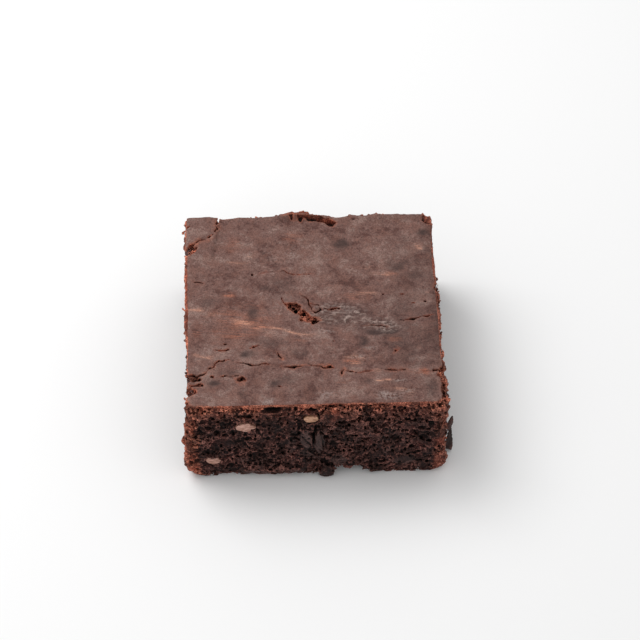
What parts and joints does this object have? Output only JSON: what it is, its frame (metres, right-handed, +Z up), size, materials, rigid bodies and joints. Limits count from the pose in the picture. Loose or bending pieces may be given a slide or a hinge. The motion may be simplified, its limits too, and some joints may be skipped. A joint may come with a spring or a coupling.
{
  "type": "chocolate brownie",
  "caption": "Square cut chocolate brownie with a flat papery cracked top crust, open dark crumb on its cut sides and pale chopped nut pieces set in them.",
  "frame": {"origin": "middle of the box of the brownie, on its flat underside", "axes": "+Z up through the crust, -Y out of the cut side that shows most nuts, +X to the right seen from that side"},
  "size_m": [0.0729, 0.0738, 0.0307],
  "materials": {
    "crumb": "matt dark chocolate crumb",
    "crust": "matt papery grey brown crust",
    "nut": "satin pale nut flesh"
  },
  "bodies": {
    "root": {"crumb": "crumb", "nut_front_1": "nut", "nut_front_2": "nut", "nut_front_3": "nut", "nut_right_1": "nut", "nut_right_2": "nut", "nut_back_1": "nut", "nut_back_2": "nut", "nut_left_1": "nut", "nut_left_2": "nut"}
  },
  "joints": []
}
